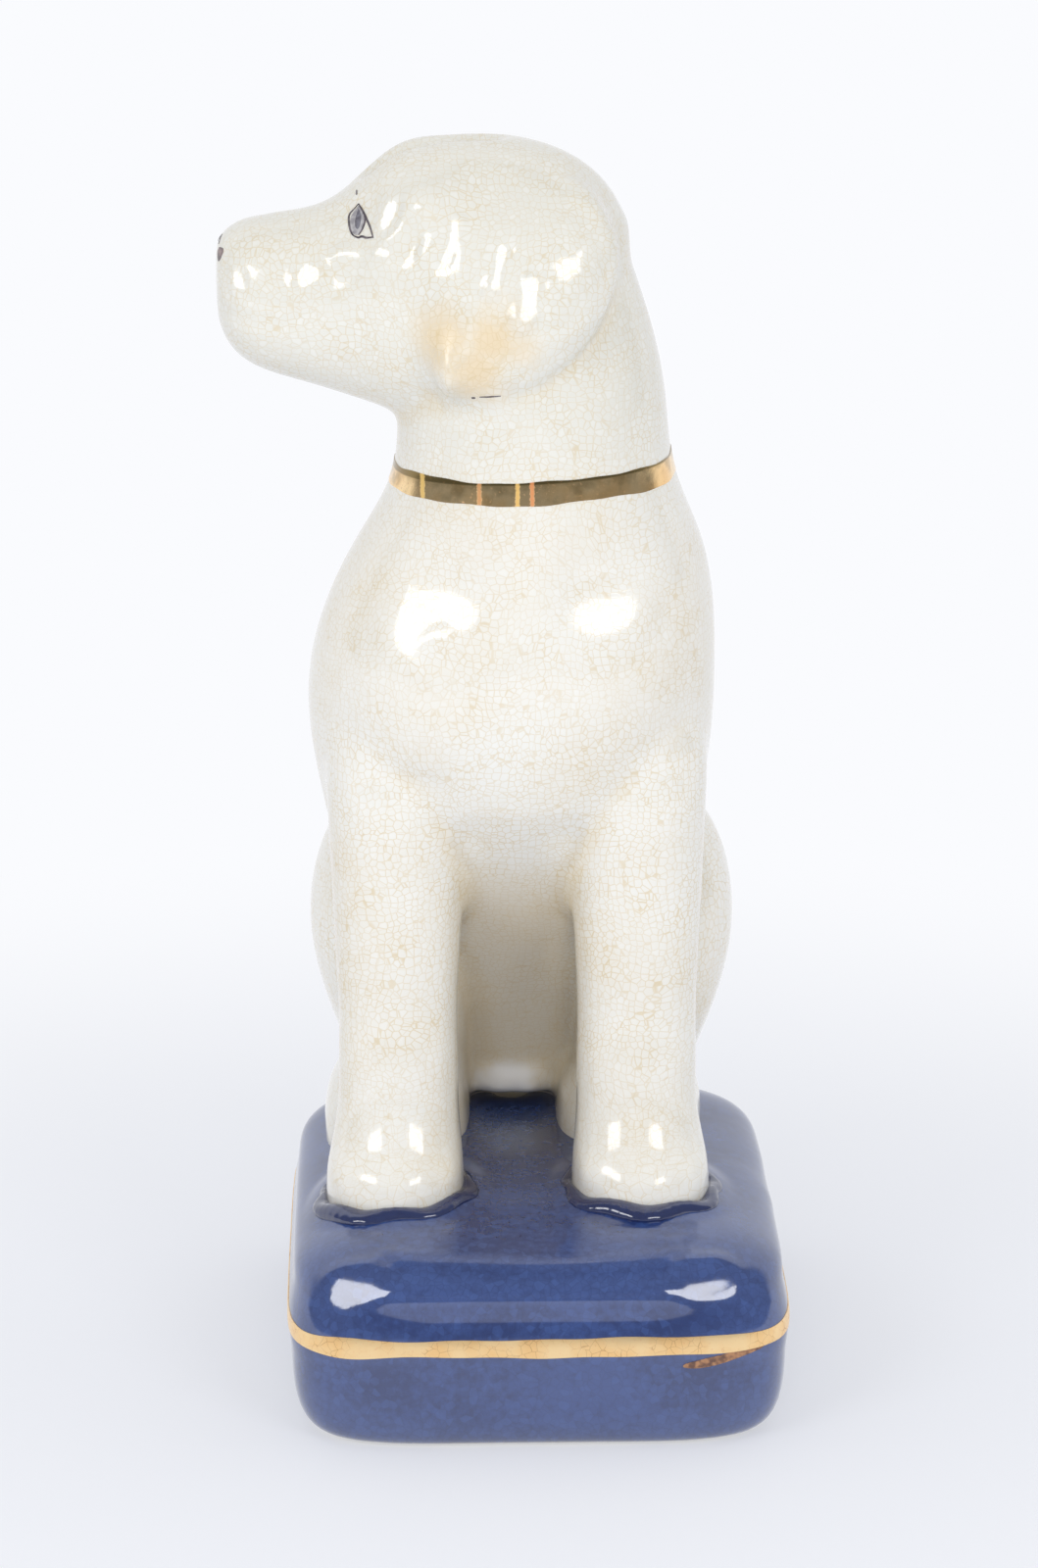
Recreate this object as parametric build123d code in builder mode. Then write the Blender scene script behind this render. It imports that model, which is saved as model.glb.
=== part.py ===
"""A seated dog ornament in crackle-glazed pottery, on a cobalt cushion with a gilded line.

The dog faces -Y and turns its head to -X. Z is up, and the origin is the middle of the face that
the ornament stands on. All lengths are millimetres. Left and right are the dog's own.
"""

import os
from math import cos, pi, radians, sin

from build123d import *

os.makedirs("parts", exist_ok=True)

# Cast clay, and the coats fired onto it
wall = 4.0
gilding = 0.4
enamel = 0.3
vent_diameter = 6.0
overrun = 1.0

# Cushion, and the slab that closes it underneath
cushion_width = 83.0
cushion_depth = 99.0
cushion_height = 34.0
cushion_line_width = 3.8
slab_thickness = 4.0
slab_rim = 11.0
slab_clearance = 0.15
slab_vent_diameter = 9.0

# Body, from the cushion's top to the middle of the collar
trunk_height = 120.3
collar_width = 4.2
collar_tilt = 2.6
glaze_rim_width = 2.6
glaze_rim_height = 1.3
hind_paw_height = 14.0
tail_diameter = 9.0

# Head, measured along the muzzle from the back of the skull
head_length = 67.2
head_height = 45.6
head_width = 41.0
head_turn = 87.0
ear_proud = 3.1
eye_height = 6.4
eye_width = 4.6
nose_width = 10.0
nose_line_width = 1.1
nostril_height = 2.6
nostril_width = 1.7

# The dog fills its cushion, so its plan follows the cushion's width
dog_shift_share = -0.0361
trunk_width_share = 0.8193
foreleg_width_share = 0.2892
foreleg_spacing_share = 0.4819
haunch_reach_share = 0.4386
haunch_inner_share = 0.1145
hind_paw_width_share = 0.3072
hind_paw_spacing_share = 0.4880
tail_bend_width_share = 0.4160
dog_shift = dog_shift_share * cushion_width
trunk_width = trunk_width_share * cushion_width
foreleg_width = foreleg_width_share * cushion_width
foreleg_spacing = foreleg_spacing_share * cushion_width
haunch_reach = haunch_reach_share * cushion_width
haunch_inner = haunch_inner_share * cushion_width
hind_paw_width = hind_paw_width_share * cushion_width
hind_paw_spacing = hind_paw_spacing_share * cushion_width
tail_bend_width = tail_bend_width_share * cushion_width

# Its plan follows the cushion's depth in the same way, and so do the two vents
trunk_depth_share = 0.6061
foreleg_depth_share = 0.2929
foreleg_front_share = 0.2879
haunch_depth_share = 0.4242
haunch_setback_share = 0.1970
hind_paw_length_share = 0.3333
hind_paw_setback_share = 0.1970
tail_bend_depth_share = 0.3500
tail_bend_setback_share = 0.0960
vent_setback_share = 0.3485
slab_vent_setback_share = 0.2222
trunk_depth = trunk_depth_share * cushion_depth
foreleg_depth = foreleg_depth_share * cushion_depth
foreleg_front = foreleg_front_share * cushion_depth
haunch_depth = haunch_depth_share * cushion_depth
haunch_setback = haunch_setback_share * cushion_depth
hind_paw_length = hind_paw_length_share * cushion_depth
hind_paw_setback = hind_paw_setback_share * cushion_depth
tail_bend_depth = tail_bend_depth_share * cushion_depth
tail_bend_setback = tail_bend_setback_share * cushion_depth
vent_setback = vent_setback_share * cushion_depth
slab_vent_setback = slab_vent_setback_share * cushion_depth

# Legs follow the trunk's height, and the ears and the neck's place follow the head
foreleg_height_share = 0.6983
haunch_height_share = 0.5154
head_lift_share = 0.2127
head_setback_share = 0.2307
ear_length_share = 0.8004
ear_width_share = 0.4762
foreleg_height = foreleg_height_share * trunk_height
haunch_height = haunch_height_share * trunk_height
head_lift = head_lift_share * head_height
head_setback = head_setback_share * head_length
ear_length = ear_length_share * head_height
ear_width = ear_width_share * head_length
ear_stand = head_width / 2 + ear_proud

# Levels that follow from the sizes
cushion_line_share = 0.53
cushion_line_height = cushion_line_share * cushion_height
cushion_top = cushion_height
collar_level = cushion_top + trunk_height
head_level = collar_level + head_lift

# Roundness of the sections: 2 is an ellipse, and more is squarer
cushion_roundness = 7.0
body_roundness = 2.15
paw_roundness = 2.6
ear_roundness = 2.5
body_steps = 12
cushion_steps = 24

# Cushion: level as a share of its height, and inset as a share of its width
cushion_shares = [
    (0.000, 0.056),
    (0.055, 0.024),
    (0.160, 0.008),
    (0.350, 0.002),
    (0.530, 0.000),
    (0.690, 0.007),
    (0.820, 0.030),
    (0.910, 0.070),
    (0.960, 0.120),
    (0.988, 0.200),
    (1.000, 0.330),
]

# Trunk: level above the cushion as a share of its height, half-width as a share of its width,
# front and back as shares of its depth, and sideways shift as a share of the dog's shift
trunk_shares = [
    (-0.100, 0.22, 0.560, 0.660, 1.00),
    (-0.033, 0.29, 0.490, 0.690, 1.00),
    (0.091, 0.37, 0.385, 0.725, 1.00),
    (0.216, 0.42, 0.215, 0.735, 1.00),
    (0.341, 0.44, -0.015, 0.715, 1.00),
    (0.466, 0.46, -0.250, 0.675, 1.07),
    (0.590, 0.492, -0.400, 0.610, 1.17),
    (0.715, 0.500, -0.455, 0.535, 1.17),
    (0.815, 0.474, -0.447, 0.468, 0.75),
    (0.906, 0.418, -0.413, 0.417, 0.22),
    (1.000, 0.342, -0.375, 0.372, 0.00),
]

# Neck inside the head: level above the collar as a share of the head's height, half-width as a
# share of its length, front and back as shares of its width, and sideways shift as before
neck_shares = [
    (0.235, 0.328, -0.512, 0.512, 0.06),
    (0.409, 0.304, -0.471, 0.480, -0.07),
    (0.586, 0.266, -0.402, 0.427, -0.20),
    (0.783, 0.220, -0.341, 0.354, -0.20),
    (0.958, 0.172, -0.256, 0.268, 0.00),
]
trunk_cavity_rows = slice(2, 15)

# Skull and muzzle: place along the head, lowest and highest as shares of its height, half-width
# as a share of its width
skull_shares = [
    (0.000, 0.482, 0.680, 0.10),
    (0.037, 0.307, 0.789, 0.27),
    (0.111, 0.132, 0.899, 0.41),
    (0.230, 0.000, 0.976, 0.485),
    (0.363, -0.030, 1.000, 0.50),
    (0.497, -0.025, 0.984, 0.475),
    (0.601, 0.025, 0.926, 0.425),
    (0.675, 0.064, 0.822, 0.365),
    (0.734, 0.093, 0.763, 0.325),
    (0.838, 0.140, 0.732, 0.305),
    (0.927, 0.194, 0.708, 0.280),
    (0.979, 0.274, 0.668, 0.207),
    (1.000, 0.395, 0.600, 0.098),
]
skull_cavity_rows = slice(2, 10)

# Ear: level as a share of its length above its tip, front and back as shares of its width from
# its rear edge, outer face as a share of its stand from the head's middle
ear_shares = [
    (0.00, 0.78, 0.60, 0.93),
    (0.08, 0.86, 0.44, 0.97),
    (0.22, 0.96, 0.24, 1.00),
    (0.42, 1.00, 0.07, 1.00),
    (0.62, 0.99, 0.00, 0.965),
    (0.80, 0.94, 0.03, 0.83),
    (0.94, 0.82, 0.12, 0.58),
]
ear_tip_share = 0.105
ear_rear_share = 0.045
ear_root_share = 0.35

# Eye: outline points as shares of its width and height, place as shares of the head's sizes
eye_outline_shares = [(-0.50, -0.18), (-0.10, 0.50), (0.30, 0.10), (0.42, -0.46), (-0.05, -0.50)]
eye_along_share = 0.642
eye_level_share = 0.715

# Nose: levels as shares of the head's height, reach of its cut as a share of the head's length
nose_line_level_share = 0.640
nose_line_rise_share = 0.22
nostril_level_share = 0.535
nostril_apart_share = 0.58
nose_cut_share = 0.10

# Foreleg: level as a share of its height, half-width as a share of its width, front and back as
# shares of its depth behind its front, spread as a share of half its spacing
foreleg_shares = [
    (-0.075, 0.470, 0.05, 0.93, 1.035),
    (0.000, 0.488, 0.00, 0.96, 1.035),
    (0.050, 0.482, 0.01, 0.95, 1.030),
    (0.110, 0.450, 0.13, 0.93, 1.015),
    (0.190, 0.425, 0.24, 0.93, 1.000),
    (0.320, 0.420, 0.285, 0.95, 1.000),
    (0.490, 0.440, 0.29, 1.00, 1.000),
    (0.640, 0.462, 0.28, 1.09, 1.000),
    (0.790, 0.485, 0.26, 1.20, 1.000),
    (0.900, 0.485, 0.30, 1.26, 1.000),
    (1.000, 0.370, 0.50, 1.18, 1.000),
]

# Haunch: level as a share of its height, outer and inner faces as shares of its two reaches,
# half-depth and shift to the back as shares of its depth
haunch_shares = [
    (-0.100, 0.69, 1.00, 0.30, 0.18),
    (0.100, 0.77, 1.00, 0.36, 0.13),
    (0.210, 0.83, 1.00, 0.44, 0.05),
    (0.400, 0.94, 1.00, 0.50, 0.00),
    (0.550, 1.00, 1.00, 0.49, 0.00),
    (0.690, 1.00, 1.00, 0.455, 0.00),
    (0.820, 0.945, 1.05, 0.38, 0.00),
    (0.925, 0.84, 1.20, 0.26, 0.00),
    (1.000, 0.69, 1.50, 0.12, 0.00),
]
haunch_shift_share = 0.50

# Hind paw: level as a share of its height, half-width and half-length as shares of its sizes
hind_paw_shares = [
    (-0.400, 0.480, 0.480),
    (0.000, 0.500, 0.500),
    (0.430, 0.475, 0.480),
    (0.780, 0.370, 0.400),
    (1.000, 0.200, 0.260),
]

# Tail: angle round its bend as a share of a turn from the dog's left, radius as a share of its
# diameter
tail_shares = [(0.235, 0.50), (0.285, 0.50), (0.335, 0.46), (0.385, 0.38), (0.415, 0.22)]
tail_lift_share = 0.10


def oval(half_x, half_y, roundness, steps):
    """A closed curve about a point, whose corners fill out as its roundness grows."""
    points = []
    for step in range(steps):
        angle = 2 * pi * step / steps
        reach = (abs(cos(angle)) ** roundness + abs(sin(angle)) ** roundness) ** (-1 / roundness)
        points.append((half_x * reach * cos(angle), half_y * reach * sin(angle)))
    Spline(*points, periodic=True)


def loft_form(sections, roundness, steps=body_steps):
    """A closed form through ovals, each given by its plane and two half-sizes."""
    with BuildPart() as form:
        for plane, half_x, half_y in sections:
            with BuildSketch(plane):
                with BuildLine():
                    oval(half_x, half_y, roundness, steps)
                make_face()
        loft()
    return form.part


def cushion_form(grow):
    """The cushion, drawn in at its foot and crowned on top."""
    sections = []
    for level_share, inset_share in cushion_shares:
        inset = inset_share * cushion_width - grow
        level = level_share * (cushion_height + grow)
        half_x = cushion_width / 2 - inset
        half_y = cushion_depth / 2 - inset
        sections.append((Plane.XY.offset(level), half_x, half_y))
    return loft_form(sections, cushion_roundness, cushion_steps)


def cushion_cavity_form():
    """The hollow of the cushion, a wall inside it, open at the foot."""
    sections = []
    for level_share, inset_share in cushion_shares:
        inset = inset_share * cushion_width + wall
        level = slab_thickness + level_share * (cushion_height - wall - slab_thickness)
        half_x = cushion_width / 2 - inset
        half_y = cushion_depth / 2 - inset
        sections.append((Plane.XY.offset(level), half_x, half_y))
    return loft_form(sections, cushion_roundness, cushion_steps)


def slab_form(grow, height):
    """The opening in the cushion's foot, or the slab that fills it."""
    half_x = cushion_width / 2 - slab_rim + grow
    half_y = cushion_depth / 2 - slab_rim + grow
    with BuildPart() as form:
        with BuildSketch():
            with BuildLine():
                oval(half_x, half_y, cushion_roundness, cushion_steps)
            make_face()
        extrude(amount=height)
    return form.part


def trunk_form(grow, rows=slice(None)):
    """Body and neck in one, from the rump in the cushion to the inside of the skull."""
    spans = []
    for level_share, half_share, front_share, back_share, shift_share in trunk_shares:
        level = cushion_top + level_share * trunk_height
        front = front_share * trunk_depth
        back = back_share * trunk_depth
        spans.append((level, half_share * trunk_width, front, back, shift_share))
    for level_share, half_share, front_share, back_share, shift_share in neck_shares:
        level = collar_level + level_share * head_height
        front = front_share * head_width
        back = back_share * head_width
        spans.append((level, half_share * head_length, front, back, shift_share))
    sections = []
    for level, half, front, back, shift_share in spans[rows]:
        plane = Plane(origin=(dog_shift * shift_share, (front + back) / 2, level))
        sections.append((plane, half + grow, (back - front) / 2 + grow))
    return loft_form(sections, body_roundness)


# Directions of the turned head: out along the muzzle, and out through its left ear
muzzle_way = Vector(-sin(radians(head_turn)), -cos(radians(head_turn)), 0)
left_way = Vector(cos(radians(head_turn)), -sin(radians(head_turn)), 0)
head_back = muzzle_way * -head_setback


def head_point(along, rise):
    """A point in the head's middle plane, from its back and its lowest level."""
    return head_back + muzzle_way * along + Vector(0, 0, head_level + rise)


def skull_form(grow, rows=slice(None)):
    """Skull and muzzle, in upright sections along the head."""
    sections = []
    for along_share, low_share, high_share, half_share in skull_shares[rows]:
        along = along_share * head_length + (2 * along_share - 1) * grow
        centre = head_point(along, (low_share + high_share) / 2 * head_height)
        plane = Plane(origin=centre, x_dir=left_way, z_dir=muzzle_way)
        half_x = half_share * head_width + grow
        half_y = (high_share - low_share) / 2 * head_height + grow
        sections.append((plane, half_x, half_y))
    return loft_form(sections, body_roundness)


def ear_form(side):
    """A hanging ear: its top sinks into the skull and its lower edge stands proud."""
    sections = []
    tip_level = head_level + ear_tip_share * head_height
    rear = head_back + muzzle_way * (ear_rear_share * head_length)
    for level_share, front_share, back_share, outer_share in ear_shares:
        inner = ear_root_share * ear_stand
        outer = outer_share * ear_stand
        along = (front_share + back_share) / 2 * ear_width
        centre = rear + muzzle_way * along + left_way * (side * (inner + outer) / 2)
        level = tip_level + level_share * ear_length
        plane = Plane(origin=(centre.X, centre.Y, level), x_dir=muzzle_way)
        half_along = (front_share - back_share) / 2 * ear_width
        sections.append((plane, half_along, (outer - inner) / 2))
    return loft_form(sections, ear_roundness)


def foreleg_form(side, grow):
    """A foreleg, from the paw in the cushion to the shoulder in the trunk."""
    sections = []
    for level_share, half_share, front_share, back_share, spread_share in foreleg_shares:
        front = front_share * foreleg_depth - foreleg_front
        back = back_share * foreleg_depth - foreleg_front
        origin = (
            dog_shift + side * spread_share * foreleg_spacing / 2,
            (front + back) / 2,
            cushion_top + level_share * foreleg_height,
        )
        half_x = half_share * foreleg_width + grow
        half_y = (back - front) / 2 + grow
        sections.append((Plane(origin=origin), half_x, half_y))
    return loft_form(sections, body_roundness)


def haunch_form(side):
    """The folded thigh at one side of the trunk."""
    sections = []
    for level_share, outer_share, inner_share, half_share, shift_share in haunch_shares:
        outer = outer_share * haunch_reach
        inner = inner_share * haunch_inner
        origin = (
            dog_shift * haunch_shift_share + side * (outer + inner) / 2,
            haunch_setback + shift_share * haunch_depth,
            cushion_top + level_share * haunch_height,
        )
        sections.append((Plane(origin=origin), (outer - inner) / 2, half_share * haunch_depth))
    return loft_form(sections, body_roundness)


def hind_paw_form(side):
    """The hind foot that lies on the cushion behind a foreleg."""
    sections = []
    for level_share, half_width_share, half_length_share in hind_paw_shares:
        origin = (
            dog_shift + side * hind_paw_spacing / 2,
            hind_paw_setback,
            cushion_top + level_share * hind_paw_height,
        )
        half_x = half_width_share * hind_paw_width
        half_y = half_length_share * hind_paw_length
        sections.append((Plane(origin=origin), half_x, half_y))
    return loft_form(sections, paw_roundness)


def tail_form():
    """The tail, curled on the cushion round the right haunch."""
    sections = []
    level = cushion_top + tail_lift_share * tail_diameter
    for turn_share, radius_share in tail_shares:
        angle = 2 * pi * turn_share
        origin = (
            dog_shift * haunch_shift_share + tail_bend_width * cos(angle),
            tail_bend_setback + tail_bend_depth * sin(angle),
            level,
        )
        heading = (-tail_bend_width * sin(angle), tail_bend_depth * cos(angle), 0)
        plane = Plane(origin=origin, x_dir=(0, 0, 1), z_dir=heading)
        radius = radius_share * tail_diameter
        sections.append((plane, radius, radius))
    return loft_form(sections, body_roundness)


def eye_cutter(side):
    """A prism through one side of the head, with the outline of a painted eye."""
    centre = head_point(eye_along_share * head_length, eye_level_share * head_height)
    plane = Plane(origin=centre, x_dir=muzzle_way * -1, z_dir=left_way)
    outline = [(x * eye_width, y * eye_height) for x, y in eye_outline_shares]
    with BuildPart() as cutter:
        with BuildSketch(plane):
            with BuildLine():
                Spline(*outline, periodic=True)
            make_face()
        extrude(amount=side * head_width)
    return cutter.part


def nose_cutter():
    """Prisms through the muzzle's tip: a line over the nose, and two nostrils under it."""
    plane = Plane(origin=head_point(head_length, 0), x_dir=left_way, z_dir=muzzle_way)
    line_level = nose_line_level_share * head_height
    rise = nose_line_rise_share * nose_width
    nostril_level = nostril_level_share * head_height
    nostril_apart = nostril_apart_share * nose_width
    reach = nose_cut_share * head_length
    with BuildPart() as cutter:
        with BuildSketch(plane):
            with BuildLine() as line:
                ThreePointArc(
                    (-nose_width / 2, line_level - rise),
                    (0, line_level),
                    (nose_width / 2, line_level - rise),
                )
            SlotArc(line.edges()[0], nose_line_width)
            with Locations((-nostril_apart, nostril_level), (nostril_apart, nostril_level)):
                Ellipse(nostril_width / 2, nostril_height / 2)
        extrude(amount=reach, both=True)
    return cutter.part


# The collar lies along the joint between trunk and head, tilted up to the dog's left
collar_plane = Plane(
    origin=(0, 0, collar_level),
    x_dir=(cos(radians(collar_tilt)), 0, sin(radians(collar_tilt))),
    z_dir=(-sin(radians(collar_tilt)), 0, cos(radians(collar_tilt))),
)


def band_slab(plane, half_width, reach):
    """A wide flat block about a plane, to cut a band out of a coat."""
    with BuildPart() as slab:
        with BuildSketch(plane.offset(-half_width)):
            Rectangle(reach, reach)
        extrude(amount=2 * half_width)
    return slab.part


# Whole forms that the pieces are cut from
cushion_solid = cushion_form(0)
cushion_hollow = cushion_cavity_form()
trunk_solid = trunk_form(0)
trunk_hollow = trunk_form(-wall, trunk_cavity_rows)
skull_solid = skull_form(0)
skull_hollow = skull_form(-wall, skull_cavity_rows)
skull_coat = skull_form(enamel)
rim_coat = cushion_form(glaze_rim_height)
vent_place = Plane(origin=(dog_shift, vent_setback, slab_thickness))
trunk_floor = cushion_top + trunk_shares[trunk_cavity_rows.start][0] * trunk_height
vent_length = trunk_floor + overrun - slab_thickness

# Cushion: a hollow casting, open underneath, with a vent into the dog
slab_opening = slab_form(slab_clearance, cushion_height / 2)
with BuildPart() as cushion:
    add(cushion_solid)
    add(cushion_hollow, mode=Mode.SUBTRACT)
    add(slab_opening, mode=Mode.SUBTRACT)
    with BuildSketch(vent_place):
        Circle(vent_diameter / 2)
    extrude(amount=vent_length, mode=Mode.SUBTRACT)
cushion.part.label = "cushion"
export_step(cushion.part, "parts/cushion.step")

# Slab: closes the cushion, with a vent for the kiln
slab_blank = slab_form(0, slab_thickness)
with BuildPart() as base_slab:
    add(slab_blank)
    with BuildSketch(Plane.XY):
        with Locations((0, slab_vent_setback)):
            Circle(slab_vent_diameter / 2)
    extrude(amount=slab_thickness + overrun, mode=Mode.SUBTRACT)
base_slab.part.label = "base_slab"
export_step(base_slab.part, "parts/base_slab.step")

# Gilded line round the cushion
line_slab = band_slab(Plane.XY.offset(cushion_line_height), cushion_line_width / 2, 2 * cushion_depth)
cushion_coat = cushion_form(gilding)
with BuildPart() as cushion_line:
    add(cushion_coat)
    add(line_slab, mode=Mode.INTERSECT)
    add(cushion_solid, mode=Mode.SUBTRACT)
cushion_line.part.label = "cushion_line"
export_step(cushion_line.part, "parts/cushion_line.step")

# Trunk: a hollow casting below the collar, vented down into the cushion
with BuildPart() as trunk:
    add(trunk_solid)
    split(bisect_by=collar_plane, keep=Keep.BOTTOM)
    add(trunk_hollow, mode=Mode.SUBTRACT)
    add(cushion_solid, mode=Mode.SUBTRACT)
    with BuildSketch(vent_place):
        Circle(vent_diameter / 2)
    extrude(amount=vent_length, mode=Mode.SUBTRACT)
trunk.part.label = "trunk"
export_step(trunk.part, "parts/trunk.step")

# Head: a hollow casting with the neck above the collar
with BuildPart() as head:
    add(trunk_solid)
    split(bisect_by=collar_plane, keep=Keep.TOP)
    add(skull_solid)
    add(trunk_hollow, mode=Mode.SUBTRACT)
    add(skull_hollow, mode=Mode.SUBTRACT)
head.part.label = "head"
export_step(head.part, "parts/head.step")

# Gilded collar over the joint
collar_slab = band_slab(collar_plane, collar_width / 2, 2 * trunk_width)
trunk_coat = trunk_form(gilding)
with BuildPart() as collar:
    add(trunk_coat)
    add(collar_slab, mode=Mode.INTERSECT)
    add(trunk_solid, mode=Mode.SUBTRACT)
collar.part.label = "collar"
export_step(collar.part, "parts/collar.step")

# Pieces in pairs, the left one on +X, and on the near side of the turned head
for side, name in ((1, "left"), (-1, "right")):
    foreleg_solid = foreleg_form(side, 0)
    foreleg_coat = foreleg_form(side, glaze_rim_width)
    haunch_solid = haunch_form(side)
    hind_paw_solid = hind_paw_form(side)
    ear_solid = ear_form(side)
    eye_prism = eye_cutter(side)

    with BuildPart() as foreleg:
        add(foreleg_solid)
        add(trunk_solid, mode=Mode.SUBTRACT)
        add(cushion_solid, mode=Mode.SUBTRACT)
    foreleg.part.label = f"foreleg_{name}"
    export_step(foreleg.part, f"parts/foreleg_{name}.step")

    with BuildPart() as haunch:
        add(haunch_solid)
        add(trunk_solid, mode=Mode.SUBTRACT)
        add(foreleg_solid, mode=Mode.SUBTRACT)
        add(cushion_solid, mode=Mode.SUBTRACT)
    haunch.part.label = f"haunch_{name}"
    export_step(haunch.part, f"parts/haunch_{name}.step")

    with BuildPart() as hind_paw:
        add(hind_paw_solid)
        add(cushion_solid, mode=Mode.SUBTRACT)
        add(trunk_solid, mode=Mode.SUBTRACT)
        add(haunch_solid, mode=Mode.SUBTRACT)
        add(foreleg_solid, mode=Mode.SUBTRACT)
    hind_paw.part.label = f"hind_paw_{name}"
    export_step(hind_paw.part, f"parts/hind_paw_{name}.step")

    with BuildPart() as glaze_rim:
        add(foreleg_coat)
        add(rim_coat, mode=Mode.INTERSECT)
        add(cushion_solid, mode=Mode.SUBTRACT)
        add(foreleg_solid, mode=Mode.SUBTRACT)
        add(hind_paw_solid, mode=Mode.SUBTRACT)
        add(haunch_solid, mode=Mode.SUBTRACT)
    glaze_rim.part.label = f"glaze_rim_{name}"
    export_step(glaze_rim.part, f"parts/glaze_rim_{name}.step")

    with BuildPart() as ear:
        add(ear_solid)
        add(skull_solid, mode=Mode.SUBTRACT)
        add(trunk_solid, mode=Mode.SUBTRACT)
    ear.part.label = f"ear_{name}"
    export_step(ear.part, f"parts/ear_{name}.step")

    with BuildPart() as eye:
        add(skull_coat)
        add(eye_prism, mode=Mode.INTERSECT)
        add(skull_solid, mode=Mode.SUBTRACT)
    eye.part.label = f"eye_{name}"
    export_step(eye.part, f"parts/eye_{name}.step")

# Tail on the cushion round the right haunch
tail_solid = tail_form()
right_haunch_solid = haunch_form(-1)
right_hind_paw_solid = hind_paw_form(-1)
with BuildPart() as tail:
    add(tail_solid)
    add(cushion_solid, mode=Mode.SUBTRACT)
    add(trunk_solid, mode=Mode.SUBTRACT)
    add(right_haunch_solid, mode=Mode.SUBTRACT)
    add(right_hind_paw_solid, mode=Mode.SUBTRACT)
tail.part.label = "tail"
export_step(tail.part, "parts/tail.step")

# Painted nose line and nostrils
nose_prism = nose_cutter()
with BuildPart() as nose:
    add(skull_coat)
    add(nose_prism, mode=Mode.INTERSECT)
    add(skull_solid, mode=Mode.SUBTRACT)
nose.part.label = "nose"
export_step(nose.part, "parts/nose.step")
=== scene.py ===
# %% [markdown]
# A seated pottery dog with a crackled cream glaze, on a cobalt cushion with gold lines.
# The lesson starts from the imported CAD model: its solids give every place and size, and the
# looks are built around them.

# %% Load the frame
import math

import bmesh
import bpy
import numpy as np
from mathutils import Matrix, Vector
from mathutils.bvhtree import BVHTree


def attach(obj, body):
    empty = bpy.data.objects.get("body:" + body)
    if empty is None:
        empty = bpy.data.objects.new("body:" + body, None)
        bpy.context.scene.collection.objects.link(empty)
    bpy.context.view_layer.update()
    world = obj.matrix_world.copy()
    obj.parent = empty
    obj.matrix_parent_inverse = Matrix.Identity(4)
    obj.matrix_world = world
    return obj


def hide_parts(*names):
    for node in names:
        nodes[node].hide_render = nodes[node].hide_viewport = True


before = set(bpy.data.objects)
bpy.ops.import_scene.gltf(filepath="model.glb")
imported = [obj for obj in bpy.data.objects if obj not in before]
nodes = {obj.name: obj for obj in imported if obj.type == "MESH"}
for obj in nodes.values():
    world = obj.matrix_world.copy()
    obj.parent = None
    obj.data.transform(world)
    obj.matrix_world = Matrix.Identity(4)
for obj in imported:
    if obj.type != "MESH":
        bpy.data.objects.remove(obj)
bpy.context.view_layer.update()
mm = 0.001
print("frame with", len(nodes), "nodes")

# %% [markdown]
# The photograph was taken with a long lens from a little above the dog's head. A camera with the
# same lens and place lets any pixel of the picture be followed back onto the figure, so that the
# small painted marks can be put where the painter put them.

# %% Camera
photo_width = 1059
photo_height = 1600
focal_pixels = 4841
camera_pitch = math.radians(15.8)
camera_yaw = math.radians(1.5)
camera_place = Vector((-22.5, -766.2, 317.0)) * mm
sensor_width = 36
camera_aim = Vector((
    math.sin(camera_yaw) * math.cos(camera_pitch),
    math.cos(camera_yaw) * math.cos(camera_pitch),
    -math.sin(camera_pitch),
))
camera = bpy.data.objects.new("camera", bpy.data.cameras.new("camera"))
bpy.context.scene.collection.objects.link(camera)
camera_turn = camera_aim.to_track_quat("-Z", "Y").to_matrix().to_4x4()
camera.matrix_world = Matrix.Translation(camera_place) @ camera_turn
camera.data.sensor_width = sensor_width
camera.data.lens = sensor_width * focal_pixels / photo_height
camera.data.clip_end = 50
bpy.context.scene.camera = camera


def photo_ray(across, down):
    """The direction in which the camera sees one pixel of the photograph."""
    local = Vector((across - photo_width / 2, photo_height / 2 - down, -focal_pixels))
    return (camera.matrix_world.to_3x3() @ local).normalized()


print("camera lens", round(camera.data.lens, 1), "mm")

# %% [markdown]
# Two soft boxes stood left and right of the camera. Their places are worked out first, because the
# bright spots on the glaze are their mirror images and the skin is shaped to show them.

# %% Places of the lamps
chest = Vector((0, 0, 0.12))
box_distance = 1.1


def box_place(azimuth, elevation):
    """A place round the chest, in degrees; azimuth 0 is the camera's side."""
    around = math.radians(azimuth)
    up = math.radians(elevation)
    way = Vector((math.sin(around) * math.cos(up), -math.cos(around) * math.cos(up), math.sin(up)))
    return chest + way * box_distance


left_box = box_place(-43, 28)
right_box = box_place(32, 28)
front_box = box_place(-2, 12)
print("lamps stand", box_distance, "m from the chest")

# %% [markdown]
# The real dog is cast in pieces that are joined with slip, and the thick glaze then flows over
# every joint, so the eye sees one soft skin. Modelling each piece apart would show hard joints.
# Here copies of the CAD pieces are gathered, their feet are sunk a little into the cushion, and
# a voxel remesh melts them into one skin, which smoothing then softens as the glaze does.

# %% Gather and melt
dog_nodes = [
    "trunk", "head", "ear_left", "ear_right", "foreleg_left", "foreleg_right",
    "haunch_left", "haunch_right", "hind_paw_left", "hind_paw_right", "tail",
]
sink_depth = 3.0 * mm
touch_distance = 0.2 * mm


def gather(names):
    """Copies of CAD nodes in one bmesh, each with its own doubles merged."""
    bm = bmesh.new()
    for name in names:
        before = len(bm.verts)
        bm.from_mesh(nodes[name].data)
        bm.verts.ensure_lookup_table()
        bmesh.ops.remove_doubles(bm, verts=bm.verts[before:], dist=1e-6)
    return bm


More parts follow.
